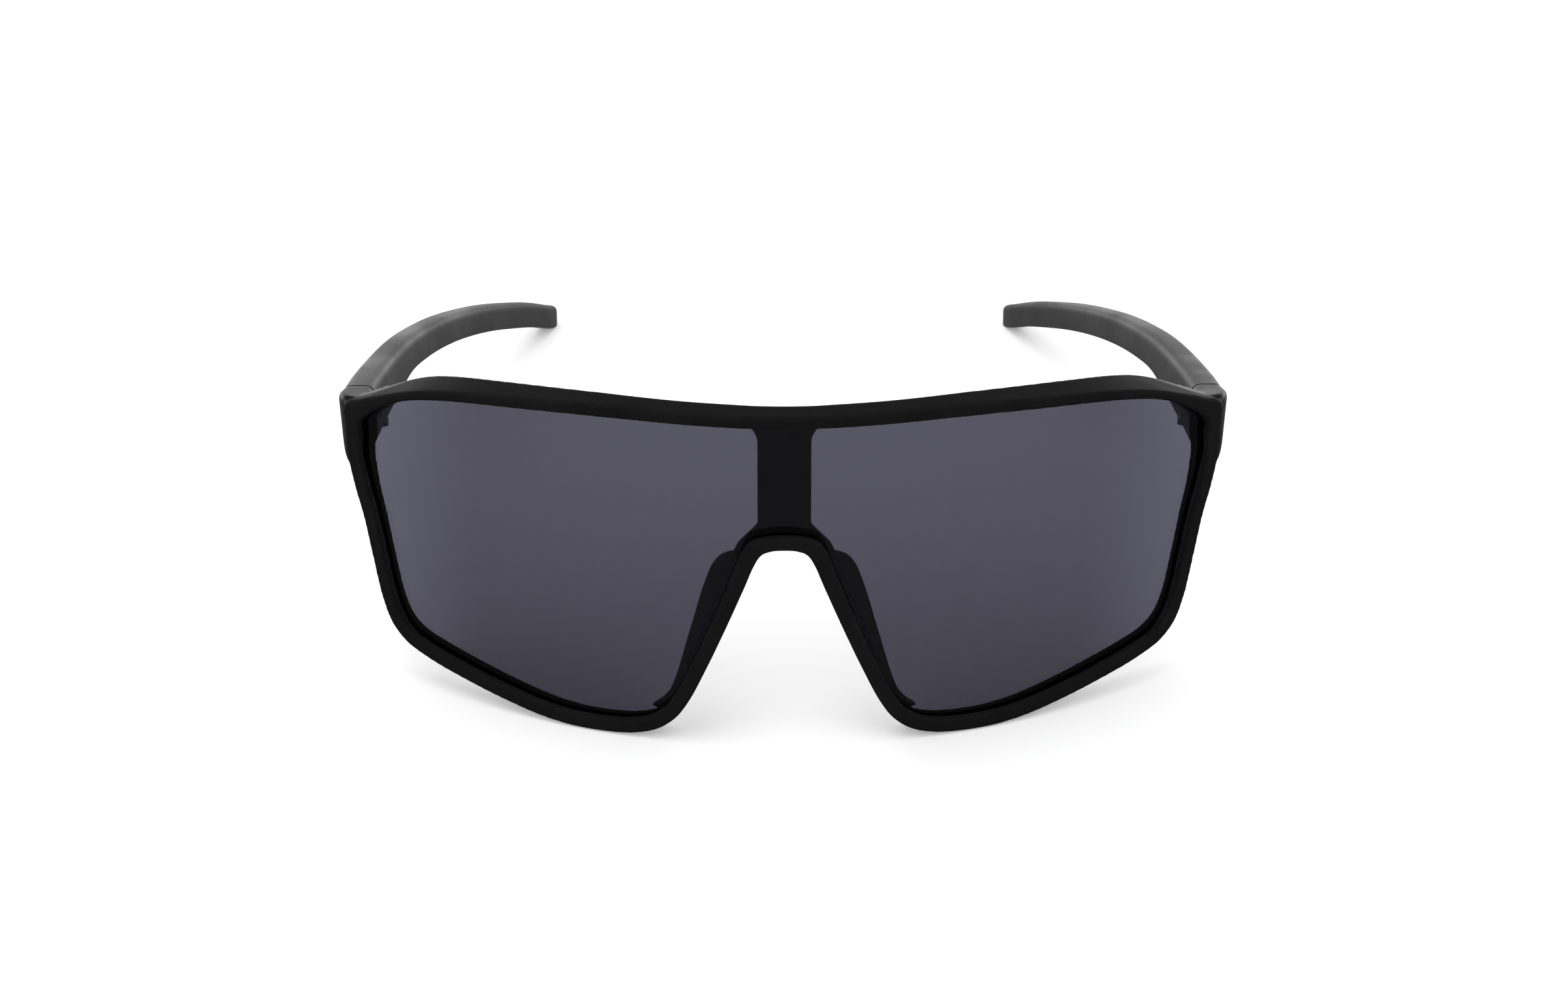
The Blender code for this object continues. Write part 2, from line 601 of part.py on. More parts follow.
def make_hinge(word, side, fixed, moving):
    half = MIDDLE_KNUCKLE / 2
    start = half + FIT_GAP
    top = start + SIDE_KNUCKLE
    clear = BARREL_RADIUS + FIT_GAP
    front_spots, rear_spots = leaf_screw_places()
    leaf("hinge_front_leaf_" + word, side, fixed,
         knuckles=[(start, top), (-top, -start)],
         plate=((-FRONT_LEAF_LENGTH, -top), (-clear, top)),
         arms=[(-clear - LEAF_THICKNESS, 0)] * 2, spots=front_spots)
    leaf("hinge_temple_leaf_" + word, side, moving,
         knuckles=[(-half, half)],
         plate=((clear, -TEMPLE_LEAF_HEIGHT / 2), (TEMPLE_LEAF_LENGTH, TEMPLE_LEAF_HEIGHT / 2)),
         arms=[(0, clear + LEAF_THICKNESS)], spots=rear_spots)

    pin = turned_screw("hinge_screw_" + word, HINGE_HEAD_RADIUS, HINGE_HEAD_HEIGHT, HINGE_SCREW_RADIUS,
                       2 * top)
    add_screw("hinge_screw_" + word, pin, fixed, Matrix.Translation((0, 0, top + FIT_GAP)),
              HINGE_HEAD_RADIUS, HINGE_HEAD_HEIGHT)

    seat = BARREL_OFFSET - 2 * FIT_GAP - LEAF_THICKNESS
    for kind, spots, parent in (("front", front_spots, fixed), ("temple", rear_spots, moving)):
        for number, (y, z) in enumerate(spots, 1):
            name = f"{kind}_leaf_screw_{word}_{number}"
            mesh = turned_screw(name, LEAF_HEAD_RADIUS, LEAF_HEAD_HEIGHT, LEAF_SCREW_RADIUS,
                                LEAF_SCREW_LENGTH)
            turn = Matrix.Translation((side * seat, y, z)) @ Matrix.Rotation(-side * math.pi / 2, 4, "Y")
            add_screw(name, mesh, parent, turn, LEAF_HEAD_RADIUS, LEAF_HEAD_HEIGHT)


# Standing on the table

def world_points(item):
    evaluated = item.evaluated_get(bpy.context.evaluated_depsgraph_get())
    mesh = evaluated.to_mesh()
    points = np.array([item.matrix_world @ vert.co for vert in mesh.vertices])
    evaluated.to_mesh_clear()
    return points


def stand_up(stand, frame, temple):
    """Lean the pair back until rims and tips touch one level, and centre its box over the origin."""
    bpy.context.view_layer.update()
    front, rear = world_points(frame), world_points(temple)

    def height_gap(lean):
        return (front[:, 2] * math.cos(lean) - front[:, 1] * math.sin(lean)).min() \
            - (rear[:, 2] * math.cos(lean) - rear[:, 1] * math.sin(lean)).min()

    low, high = 0.0, math.radians(30)
    while high - low > FIT_GAP / FRONT_RADIUS / 1000:
        middle = (low + high) / 2
        low, high = (middle, high) if height_gap(middle) < 0 else (low, middle)
    stand.rotation_euler.x = -low
    bpy.context.view_layer.update()
    front, rear = world_points(frame), world_points(temple)
    stand.location.y = -(front[:, 1].min() + rear[:, 1].max()) / 2
    stand.location.z = -min(front[:, 2].min(), rear[:, 2].min()) - REST_FLAT


def cut_rest_flats(items):
    table = box_mesh("table", (-FRONT_HALF_ARC, -TEMPLE_LENGTH, -RIM_DEPTH),
                     (FRONT_HALF_ARC, TEMPLE_LENGTH, 0))
    cutter = add_object("table_plane", table, None)
    for item in items:
        combine(item, "DIFFERENCE", cutter)


clear_scene()
parts = new_collection("sports_sunglasses")
cutters = new_collection("cutters")

stand_frame = add_frame("stand", None, Matrix())
fixed_frames, moving_frames = {}, {}
for word, side in (("right", 1), ("left", -1)):
    fixed_frames[side] = add_frame("hinge_" + word, stand_frame, hinge_matrix(side))
    moving_frames[side] = add_frame("fold_" + word, fixed_frames[side], Matrix())

front_frame = make_front(stand_frame, fixed_frames)
shield_lens = make_lens(stand_frame)
temples = []
for word, side in (("right", 1), ("left", -1)):
    make_pad("nose_pad_" + word, side, stand_frame)
    temples.append(make_temple("temple_" + word, side, moving_frames[side]))
    make_hinge(word, side, fixed_frames[side], moving_frames[side])

stand_up(stand_frame, front_frame, temples[0])
cut_rest_flats([front_frame] + temples)
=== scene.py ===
import json
import math

import bmesh
import bpy
import numpy as np
from mathutils import Matrix, Vector


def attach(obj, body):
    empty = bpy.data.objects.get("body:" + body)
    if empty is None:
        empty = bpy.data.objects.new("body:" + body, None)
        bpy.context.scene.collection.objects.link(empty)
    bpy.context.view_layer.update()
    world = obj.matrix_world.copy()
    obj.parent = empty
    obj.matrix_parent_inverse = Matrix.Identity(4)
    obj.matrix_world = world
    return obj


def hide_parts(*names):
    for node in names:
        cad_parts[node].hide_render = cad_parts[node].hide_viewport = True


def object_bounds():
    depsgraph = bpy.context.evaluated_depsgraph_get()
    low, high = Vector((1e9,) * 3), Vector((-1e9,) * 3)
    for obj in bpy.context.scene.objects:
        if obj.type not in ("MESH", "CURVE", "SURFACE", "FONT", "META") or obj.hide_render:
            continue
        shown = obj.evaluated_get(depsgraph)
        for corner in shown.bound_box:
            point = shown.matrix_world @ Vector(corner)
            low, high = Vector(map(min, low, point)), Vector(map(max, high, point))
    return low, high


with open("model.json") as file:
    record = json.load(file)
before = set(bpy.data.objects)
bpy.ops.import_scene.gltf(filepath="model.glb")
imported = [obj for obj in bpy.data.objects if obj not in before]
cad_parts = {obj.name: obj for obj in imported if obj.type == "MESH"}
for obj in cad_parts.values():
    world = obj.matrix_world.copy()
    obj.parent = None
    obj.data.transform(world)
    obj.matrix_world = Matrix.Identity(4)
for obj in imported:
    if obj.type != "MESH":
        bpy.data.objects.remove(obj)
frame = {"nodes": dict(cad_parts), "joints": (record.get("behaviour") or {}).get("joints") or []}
cadBox = [list(corner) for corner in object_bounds()]
scene = bpy.context.scene
print("frame loaded")


# Node wiring

class Wire:  # one output socket that can take part in sums
    def __init__(self, board, item, output=0):
        self.board, self.item = board, item
        self.socket = item.outputs[output] if len(item.outputs) else None

    def other(self, output):
        return Wire(self.board, self.item, output)

    def sum(self, operation, first, second=None):
        values = {0: first} if second is None else {0: first, 1: second}
        return self.board.node("ShaderNodeMath", {"operation": operation}, values)

    def __add__(self, value): return self.sum("ADD", self, value)
    def __radd__(self, value): return self.sum("ADD", value, self)
    def __sub__(self, value): return self.sum("SUBTRACT", self, value)
    def __rsub__(self, value): return self.sum("SUBTRACT", value, self)
    def __mul__(self, value): return self.sum("MULTIPLY", self, value)
    def __rmul__(self, value): return self.sum("MULTIPLY", value, self)
    def __truediv__(self, value): return self.sum("DIVIDE", self, value)
    def sine(self): return self.sum("SINE", self)
    def cosine(self): return self.sum("COSINE", self)
    def atLeast(self, value): return self.sum("MAXIMUM", self, value)

    def between(self, low, high):  # 0 at low, 1 at high, held outside
        return self.board.node("ShaderNodeMapRange", {"interpolation_type": "SMOOTHSTEP"},
                               {"Value": self, "From Min": low, "From Max": high})


class Board:  # one node tree
    def __init__(self, tree):
        self.tree = tree

    def node(self, kind, settings=None, values=None):
        item = self.tree.nodes.new(kind)
        for name, value in (settings or {}).items():
            setattr(item, name, value)
        for name, value in (values or {}).items():
            socket = item.inputs[name]
            if isinstance(value, Wire):
                self.tree.links.new(value.socket, socket)
            else:
                socket.default_value = value
        return Wire(self, item)

    def noise(self, place, scale, detail, roughness=0.5):
        return self.node("ShaderNodeTexNoise", None,
                         {"Vector": place, "Scale": scale, "Detail": detail, "Roughness": roughness})

    def blend(self, mask, first, second):
        item = self.node("ShaderNodeMix", {"data_type": "RGBA"}).item
        for name, value in (("Factor_Float", mask), ("A_Color", first), ("B_Color", second)):
            socket = next(s for s in item.inputs if s.identifier == name)
            if isinstance(value, Wire):
                self.tree.links.new(value.socket, socket)
            else:
                socket.default_value = value if name == "Factor_Float" else (*value, 1)
        return Wire(self, item, next(i for i, s in enumerate(item.outputs) if s.identifier == "Result_Color"))


def newTree(name, sockets):
    tree = bpy.data.node_groups.new(name, "GeometryNodeTree")
    tree.interface.new_socket("Geometry", in_out="INPUT", socket_type="NodeSocketGeometry")
    for label, kind in sockets:
        tree.interface.new_socket(label, in_out="INPUT", socket_type="NodeSocket" + kind)
    tree.interface.new_socket("Geometry", in_out="OUTPUT", socket_type="NodeSocketGeometry")
    board = Board(tree)
    return board, board.node("NodeGroupInput")


# Meshes and objects

def addPiece(name, mesh, sharp=38):
    mesh.name = name
    item = bpy.data.objects.new(name, mesh)
    scene.collection.objects.link(item)
    mesh.shade_smooth()
    mesh.set_sharp_from_angle(angle=math.radians(sharp))
    return item


def settle(item, name):  # the evaluated shape as a plain mesh on a new object
    graph = bpy.context.evaluated_depsgraph_get()
    mesh = bpy.data.meshes.new_from_object(item.evaluated_get(graph), depsgraph=graph)
    bpy.data.objects.remove(item)
    return addPiece(name, mesh)


def throughNodes(name, mesh, tree, values):
    item = addPiece(name + "Draft", mesh)
    modifier = item.modifiers.new("nodes", "NODES")
    modifier.node_group = tree
    for socket in tree.interface.items_tree:
        if socket.in_out == "INPUT" and socket.name in values:
            modifier[socket.identifier] = values[socket.name]
    return settle(item, name)


def takeMaterial(item, finish):
    item.data.materials.clear()
    item.data.materials.append(finish)
    item.data.polygons.foreach_set("material_index", [0] * len(item.data.polygons))


def skin(name, sections, closed=False):
    bm = bmesh.new()
    rings = [[bm.verts.new(point) for point in section] for section in sections]
    count = len(rings[0])
    for i in range(len(rings) if closed else len(rings) - 1):
        a, b = rings[i], rings[(i + 1) % len(rings)]
        for k in range(count):
            n = (k + 1) % count
            bm.faces.new((a[k], a[n], b[n], b[k]))
    if not closed:
        bm.faces.new(rings[0][::-1])
        bm.faces.new(rings[-1])
    return finishMesh(name, bm)


def finishMesh(name, bm):
    bmesh.ops.recalc_face_normals(bm, faces=bm.faces)
    mesh = bpy.data.meshes.new(name)
    bm.to_mesh(mesh)
    bm.free()
    return mesh


evening = {"pull": 0.50, "push": -0.53}  # shares of the way to the neighbours' middle
marking = {"blurs": 3, "shortest": 1e-7}  # smoothing rounds, and the shortest edge that counts
insideBox = {"bottom": 0.00002, "top": 0.00001}  # the finished pieces stay this far inside the CAD box


def readMesh(mesh):  # points, and the two ends of every edge
    points = np.empty(len(mesh.vertices) * 3)
    mesh.vertices.foreach_get("co", points)
    pairs = np.empty(len(mesh.edges) * 2, int)
    mesh.edges.foreach_get("vertices", pairs)
    return points.reshape(-1, 3), pairs.reshape(-1, 2).T


def evenOut(item, rounds):  # pulls in and pushes out in turn, which keeps the size
    points, (a, b) = readMesh(item.data)
    count = len(points)
    number = np.bincount(a, minlength=count) + np.bincount(b, minlength=count)
    for share in (evening["pull"], evening["push"]) * rounds:
        total = np.stack([np.bincount(a, points[b, k], count) + np.bincount(b, points[a, k], count)
                          for k in range(3)], axis=1)
        points += share * (total / number[:, None] - points)
    item.data.vertices.foreach_set("co", points.ravel())
    item.data.update()


def markEdges(item, piece):  # attribute "edge": how far each point bulges out, for wear
    mesh = item.data
    points, (a, b) = readMesh(mesh)
    count = len(points)
    normals = np.empty(count * 3)
    mesh.vertices.foreach_get("normal", normals)
    normals = normals.reshape(-1, 3)
    step = points[b] - points[a]
    length = np.maximum(np.linalg.norm(step, axis=1), marking["shortest"])
    bulge = np.zeros(count)
    number = np.zeros(count)
    for here, there, way in ((a, b, 1), (b, a, -1)):
        np.add.at(bulge, here, -way * (step * normals[here]).sum(1) / length ** 2 * piece["wearSize"])
        np.add.at(number, here, 1)
    bulge /= np.maximum(number, 1)
    for _ in range(marking["blurs"]):
        total = bulge.copy()
        np.add.at(total, a, bulge[b])
        np.add.at(total, b, bulge[a])
        bulge = total / (number + 1)
    values = np.clip(bulge * piece["wearGain"], 0, 1).astype(np.float32)
    mesh.attributes.new("edge", "FLOAT", "POINT").data.foreach_set("value", values)


# Flat drawing of the front, shared by the frame, lens and pads: arc across, height up, depth back

front = {
    "bendRadius": 0.100, "halfArc": 0.079, "height": 0.0552,
    "lip": 0.0025, "depth": 0.0052, "lipDepth": 0.0010, "flangeInset": 0.0003,
    "lens": 0.0020, "gap": 0.0003, "seatShare": 0.5, "browSeatShare": 0.7, "weld": 1e-6,
}

# arc share, height share, direction of the lens, lip share, depth share
rimTurns = [
    (0.000, 0.987, 270, 0.91, 1.00), (0.177, 0.993, 270, 0.91, 1.00), (0.380, 1.000, 270, 0.92, 1.04),
    (0.532, 0.992, 268, 0.87, 1.20), (0.652, 0.981, 264, 0.85, 1.28), (0.734, 0.968, 259, 0.86, 1.38),
    (0.816, 0.945, 253, 0.88, 1.52), (0.892, 0.911, 244, 1.04, 1.60), (0.953, 0.876, 231, 1.38, 1.50),
    (0.999, 0.843, 217, 1.88, 1.30), (0.996, 0.774, 195, 1.50, 1.12), (0.994, 0.701, 180, 1.28, 1.00),
    (0.974, 0.596, 168, 1.10, 0.93), (0.950, 0.508, 166, 1.02, 0.89), (0.927, 0.390, 164, 1.00, 0.88),
    (0.902, 0.266, 162, 1.00, 0.88), (0.877, 0.197, 150, 1.00, 0.90), (0.839, 0.151, 132, 1.00, 0.94),
    (0.778, 0.118, 115, 1.00, 0.98), (0.684, 0.082, 106, 1.00, 1.00), (0.592, 0.048, 105, 1.00, 1.00),
    (0.500, 0.017, 101, 1.00, 1.00), (0.430, 0.003, 95, 1.00, 1.00), (0.361, 0.000, 90, 1.00, 1.00),
    (0.304, 0.005, 82, 1.00, 1.00), (0.256, 0.024, 66, 1.00, 1.00), (0.220, 0.060, 48, 1.00, 1.00),
    (0.193, 0.113, 33, 1.00, 1.00), (0.156, 0.219, 25, 1.00, 1.00), (0.115, 0.350, 24, 1.00, 1.00),
    (0.076, 0.482, 24, 1.04, 1.00), (0.060, 0.538, 35, 1.12, 1.00), (0.045, 0.571, 51, 1.14, 1.00),
    (0.025, 0.583, 74, 1.00, 1.00), (0.000, 0.586, 90, 0.96, 1.00),
]
lensFront = front["lipDepth"] + front["gap"]
lensBack = lensFront + front["lens"]
pocketBack = lensBack + front["gap"]


def curveThrough(rows, steps, closed):
    rows = [np.array(row, dtype=float) for row in rows]
    count = len(rows)
    points = []
    for i in range(count if closed else count - 1):
        p1, p2 = rows[i], rows[(i + 1) % count]
        p0 = rows[i - 1] if closed or i > 0 else 2 * p1 - p2
        p3 = rows[(i + 2) % count] if closed or i + 2 < count else 2 * p2 - p1
        d0, d1, d2 = (math.sqrt(np.linalg.norm(b - a)) for a, b in ((p0, p1), (p1, p2), (p2, p3)))
        m1 = (p2 - p1) - d1 * ((p2 - p0) / (d0 + d1) - (p1 - p0) / d0)
        m2 = (p2 - p1) + d1 * ((p3 - p2) / d2 - (p3 - p1) / (d1 + d2))
        for k in range(steps):
            t = k / steps
            points.append(p1 + t * (m1 + t * (3 * (p2 - p1) - 2 * m1 - m2 + t * (2 * (p1 - p2) + m1 + m2))))
    if not closed:
        points.append(rows[-1])
    return points


def softCorners(corners, steps=5):  # closed outline of (x, y, reach of the rounding on each side)
    points = []
    for i, (x, y, *reach) in enumerate(corners):
        here = Vector((x, y))
        if not reach[0]:
            points.append(here)
            continue
        before = (Vector(corners[i - 1][:2]) - here).normalized() * reach[0]
        after = (Vector(corners[(i + 1) % len(corners)][:2]) - here).normalized() * reach[-1]
        for k in range(steps + 1):
            t = k / steps
            points.append(here + (1 - t) ** 2 * before + t ** 2 * after)
    return points


def rimStations(steps):
    rows = []
    for arc, height, direction, lip, depth in rimTurns:
        arc, height, lip = arc * front["halfArc"], height * front["height"], lip * front["lip"]
        angle = math.radians(direction)
        rows.append((arc, height, arc + lip * math.cos(angle), height + lip * math.sin(angle),
                     depth * front["depth"]))
    mirrored = [(-a, b, -c, d, e) for a, b, c, d, e in rows[-2:0:-1]]
    points = curveThrough(rows + mirrored, steps, closed=True)
    return [(Vector(p[:2]), Vector(p[2:4]), float(p[4])) for p in points]


def overhead(outer, inner):  # 1 on the brow, 0 at the sides and below
    return max(0.0, (outer - inner).normalized().y)


def noseSide(stations):
    lowest = min(range(len(stations) // 2), key=lambda i: stations[i][0].y)
    return stations[lowest:len(stations) // 2 + 1][::-1]


def bendPoint(arc, height, depth):
    radius = front["bendRadius"] - depth
    angle = arc / front["bendRadius"]
    return Vector((radius * math.sin(angle), front["bendRadius"] - radius * math.cos(angle), height))


def flatPanel(name, outline, near, far, width):  # folded at every width, so that it can be bent
    bm = bmesh.new()
    bm.faces.new([bm.verts.new((p[0], near, p[1])) for p in outline])
    folds = int(max(abs(p[0]) for p in outline) / width)
    for k in range(-folds - 1, folds + 1):
        bmesh.ops.bisect_plane(bm, geom=bm.verts[:] + bm.edges[:] + bm.faces[:], dist=front["weld"],
                               plane_no=(1, 0, 0), plane_co=((k + 0.5) * width, 0, 0))
    bmesh.ops.triangulate(bm, faces=bm.faces)
    result = bmesh.ops.extrude_face_region(bm, geom=bm.faces[:])
    for vert in (item for item in result["geom"] if isinstance(item, bmesh.types.BMVert)):
        vert.co.y = far
    return finishMesh(name, bm)


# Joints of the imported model: they place the stand, so the scene follows any new pack

temple = {
    "slope": math.radians(6.4), "length": 0.1220, "inward": 0.0243, "drop": 0.0117,
    "rootHeight": 0.0109, "thickness": 0.0051, "edgeRound": 0.0013, "innerRound": 0.0006,
    "topRound": 0.0018, "edgeParts": 3, "topParts": 2.6,  # a rounding takes one such part of a side at most
    "setback": 0.0085, "outset": 0.0007, "jointDrop": 0.0001, "bite": 0.0003, "gap": 0.0003,
    "draft": 0.0009, "cutWidth": 0.0006, "cutHeight": 0.0028,
    "steps": 9, "wearSize": 0.0003, "wearGain": 1.6,
}
hinge = {
    "drop": 0.0041, "barrel": 0.0012, "leaf": 0.0008, "sideKnuckle": 0.0013, "middleKnuckle": 0.0015,
    "pin": 0.0005, "pinHead": 0.0010, "pinHeadHeight": 0.0006,
    "screw": 0.00045, "screwHead": 0.0008, "screwHeadHeight": 0.0004, "screwLength": 0.0030,
    "frontSetback": 0.0026, "frontSpread": 0.0013, "templeSetback": 0.0037, "templePitch": 0.0032,
}
barrelOffset = hinge["barrel"] + temple["gap"]
hingeDrop = hinge["drop"]

joints = {joint["child"]: joint for joint in frame["joints"]}
axis = Vector(joints["right_arm"]["axis"])
tilt = -math.atan2(axis.y, axis.z)
lean = tilt + temple["slope"]
cornerArc, cornerHeight = max(rimTurns)[:2]
corner = bendPoint(cornerArc * front["halfArc"], cornerHeight * front["height"], 0)
hingeTop = Vector((corner.x + temple["outset"] - temple["thickness"] - barrelOffset,
                   corner.y + temple["setback"], corner.z - temple["jointDrop"]))
hingeInFront = hingeTop + Matrix.Rotation(-temple["slope"], 3, "X") @ Vector((0, 0, -hingeDrop))
standPlace = Vector(joints["right_arm"]["pos_m"]) - Matrix.Rotation(lean, 3, "X") @ hingeInFront
standPlace.x = 0
stand = Matrix.Translation(standPlace) @ Matrix.Rotation(lean, 4, "X")
hinges = {side: Matrix.Translation(joints[arm]["pos_m"]) @ Matrix.Rotation(tilt, 4, "X")
          for side, arm in ((1, "right_arm"), (-1, "left_arm"))}
print("lean", round(math.degrees(lean), 3), "stand", [round(v, 6) for v in standPlace])


# Finishes

def newFinish(name):
    material = bpy.data.materials.new(name)
    material.use_nodes = True
    material.node_tree.nodes.clear()
    board = Board(material.node_tree)
    place = board.node("ShaderNodeTexCoord").other("Object")
    return material, board, place


def closeFinish(board, values):
    shader = board.node("ShaderNodeBsdfPrincipled", None, values)
    board.node("ShaderNodeOutputMaterial", None, {"Surface": shader})


nylonLook = {
    "colour": (0.0040, 0.0040, 0.0043), "cloudy": (0.0055, 0.0054, 0.0056), "worn": (0.016, 0.0156, 0.0153),
    "roughness": 0.36, "specular": 0.50,
    "grainSize": 0.00016, "grainDepth": 0.000010, "grainDetail": 2.0, "grainStrength": 0.5,
    "cloudSize": 0.010, "cloudDetail": 3.0, "cloudRange": (0.35, 0.68), "cloudShare": 0.8,
    "patches": 2.3, "patchDetail": 4.0, "patchRough": 0.62, "patchRange": (0.42, 0.62), "wear": 0.55,
    "cloudDull": 0.07, "grainDull": 0.06, "edgePolish": 0.12,
}
frontLook = dict(  # duller than the temples, as far back as the end pieces
    nylonLook, colour=(0.0046, 0.0045, 0.0049), cloudy=(0.0060, 0.0059, 0.0063),
    roughness=0.62, specular=0.47, rearRange=(-0.0478, -0.0440))


def nylonFinish(name, look):
    material, board, place = newFinish(name)
    edge = board.node("ShaderNodeAttribute", {"attribute_name": "edge"}).other("Fac")
    cloud = board.noise(place, 1 / look["cloudSize"], look["cloudDetail"]).between(*look["cloudRange"])
    patch = board.noise(place, look["patches"] / look["cloudSize"], look["patchDetail"],
                        look["patchRough"]).between(*look["patchRange"])
    grain = board.noise(place, 1 / look["grainSize"], look["grainDetail"])
    colour = board.blend(cloud * look["cloudShare"], look["colour"], look["cloudy"])
    colour = board.blend(edge * patch * look["wear"], colour, look["worn"])
    roughness = (look["roughness"] + look["cloudDull"] * cloud + look["grainDull"] * grain
                 - look["edgePolish"] * edge)
    if "rearRange" in look:
        back = board.node("ShaderNodeSeparateXYZ", None, {0: place}).other(1)
        rear = back.between(*look["rearRange"])
        roughness = roughness - (look["roughness"] - nylonLook["roughness"]) * rear
    bump = board.node("ShaderNodeBump", None, {
        "Strength": look["grainStrength"], "Distance": look["grainDepth"], "Height": grain})
    closeFinish(board, {"Base Color": colour, "Roughness": roughness, "Normal": bump,
                        "Specular IOR Level": look["specular"]})
    return material


# painted shade: the smoke tint is darker towards the bottom, standing in for the shade seen through the lens
# there; it is also painted lighter and bluer towards the wrapped sides
lensLook = {
    "top": (0.081, 0.079, 0.105), "bottom": (0.069, 0.067, 0.091), "heightRange": (0.006, 0.050),
    "side": (0.112, 0.109, 0.145), "sideRange": (0.046, 0.070),
    "ior": 1.58, "smears": 60, "smearDetail": 3.0, "smearRange": (0.45, 0.8), "smearDull": 0.02,
}


def lensFinish(name, look):
    material, board, place = newFinish(name)
    across = board.node("ShaderNodeSeparateXYZ", None, {0: place})
    # painted shade: the tint darkens towards the bottom for the shade seen through the lens
    tintAndPaintedShade = board.blend(across.other(2).between(*look["heightRange"]), look["bottom"], look["top"])
    # the tint is painted lighter and bluer towards the wrapped sides
    beside = across.sum("ABSOLUTE", across).between(*look["sideRange"])
    tintAndPaintedShade = board.blend(beside, tintAndPaintedShade, look["side"])
    smear = board.noise(place, look["smears"], look["smearDetail"]).between(*look["smearRange"])
    closeFinish(board, {"Base Color": tintAndPaintedShade, "Roughness": look["smearDull"] * smear,
                        "IOR": look["ior"], "Transmission Weight": 1.0})
    return material


rubberLook = {
    "colour": (0.010, 0.010, 0.011), "dusty": (0.016, 0.016, 0.017), "roughness": 0.62, "specular": 0.35,
    "grainSize": 0.00022, "grainDepth": 0.000014, "grainDetail": 3.0, "grainStrength": 0.6,
    "clouds": 260, "cloudDetail": 3.0, "cloudRange": (0.4, 0.7), "cloudShare": 0.6, "edgeShare": 0.4,
    "cloudDull": 0.10, "grainDull": 0.06,
}


def rubberFinish(name, look):
    material, board, place = newFinish(name)
    edge = board.node("ShaderNodeAttribute", {"attribute_name": "edge"}).other("Fac")
    cloud = board.noise(place, look["clouds"], look["cloudDetail"]).between(*look["cloudRange"])
    grain = board.noise(place, 1 / look["grainSize"], look["grainDetail"])
    dust = look["cloudShare"] * cloud + look["edgeShare"] * edge
    colour = board.blend(dust, look["colour"], look["dusty"])
    roughness = look["roughness"] + look["cloudDull"] * cloud + look["grainDull"] * grain
    bump = board.node("ShaderNodeBump", None, {
        "Strength": look["grainStrength"], "Distance": look["grainDepth"], "Height": grain})
    closeFinish(board, {"Base Color": colour, "Roughness": roughness, "Normal": bump,
                        "Specular IOR Level": look["specular"]})
    return material


metalLook = {
    "colour": (0.13, 0.13, 0.135), "bright": (0.30, 0.30, 0.31), "roughness": 0.30,
    "brushSize": 0.00012, "brushDepth": 0.000004, "brushDetail": 3.0, "brushStrength": 0.4,
    "brushStretch": (0.08, 0.08, 1.0), "edgeShare": 0.7, "brushShare": 0.2,
    "brushDull": 0.14, "edgePolish": 0.08,
}


def metalFinish(name, look):
    material, board, place = newFinish(name)
    edge = board.node("ShaderNodeAttribute", {"attribute_name": "edge"}).other("Fac")
    stretched = board.node("ShaderNodeMapping", None, {"Vector": place, "Scale": look["brushStretch"]})
    brush = board.noise(stretched, 1 / look["brushSize"], look["brushDetail"])
    shine = look["edgeShare"] * edge + look["brushShare"] * brush
    colour = board.blend(shine, look["colour"], look["bright"])
    roughness = look["roughness"] + look["brushDull"] * brush - look["edgePolish"] * edge
    bump = board.node("ShaderNodeBump", None, {
        "Strength": look["brushStrength"], "Distance": look["brushDepth"], "Height": brush})
    closeFinish(board, {"Base Color": colour, "Roughness": roughness, "Metallic": 1.0, "Normal": bump})
    return material


blackNylon = nylonFinish("blackNylon", nylonLook)
dullNylon = nylonFinish("dullNylon", frontLook)
smokeLens = lensFinish("smokeLens", lensLook)
blackRubber = rubberFinish("blackRubber", rubberLook)
hingeMetal = metalFinish("hingeMetal", metalLook)
print("finishes made")


# Bend: a tree that rolls a flat drawing onto the front's cylinder and leans it back on the stand

def rollTree():
    board, entry = newTree("rollOnCylinder", [("Bend radius", "Float"), ("Lean", "Float"),
                                              ("Stand place", "Vector"), ("Finish", "Material")])
    place = board.node("GeometryNodeInputPosition")
    arc = board.node("ShaderNodeSeparateXYZ", None, {0: place})
    radius = entry.other("Bend radius")
    angle, reach = arc / radius, radius - arc.other(1)
    rolled = board.node("ShaderNodeCombineXYZ", None,
                        {0: reach * angle.sine(), 1: radius - reach * angle.cosine(), 2: arc.other(2)})
    moved = board.node("GeometryNodeSetPosition", None, {"Geometry": entry.other("Geometry"),
                                                         "Position": rolled})
    turn = board.node("ShaderNodeCombineXYZ", None, {0: entry.other("Lean")})
    stood = board.node("GeometryNodeTransform", None, {"Geometry": moved, "Rotation": turn,
                                                       "Translation": entry.other("Stand place")})
    real = board.node("GeometryNodeRealizeInstances", None, {"Geometry": stood})
    done = board.node("GeometryNodeSetMaterial", None, {"Geometry": real, "Material": entry.other("Finish")})
    board.node("NodeGroupOutput", None, {"Geometry": done})
    return board.tree


rollOnCylinder = rollTree()


def roll(name, mesh, finish):
    return throughNodes(name, mesh, rollOnCylinder, {
        "Bend radius": front["bendRadius"], "Lean": lean, "Stand place": standPlace, "Finish": finish})


# Front frame: rim, middle bar, nose flange and end pieces grown together, then the lens groove is cut

shell = {
    "steps": 8, "outerRound": 0.0006, "backRound": 0.0006, "lipRound": 0.0004, "browSlope": 0.00035,
    "slopeGrowth": 2, "barWidth": 0.0085, "barFillet": 0.0030, "barRecess": 0.0002, "filletSteps": 8,
    "noseFlange": 0.0009, "noseGusset": 0.0030, "endSteps": 4, "voxel": 0.00031, "quickTimes": 2,
    "smoothing": 5, "fold": 0.0006, "wearSize": 0.0003, "wearGain": 2.2,
}

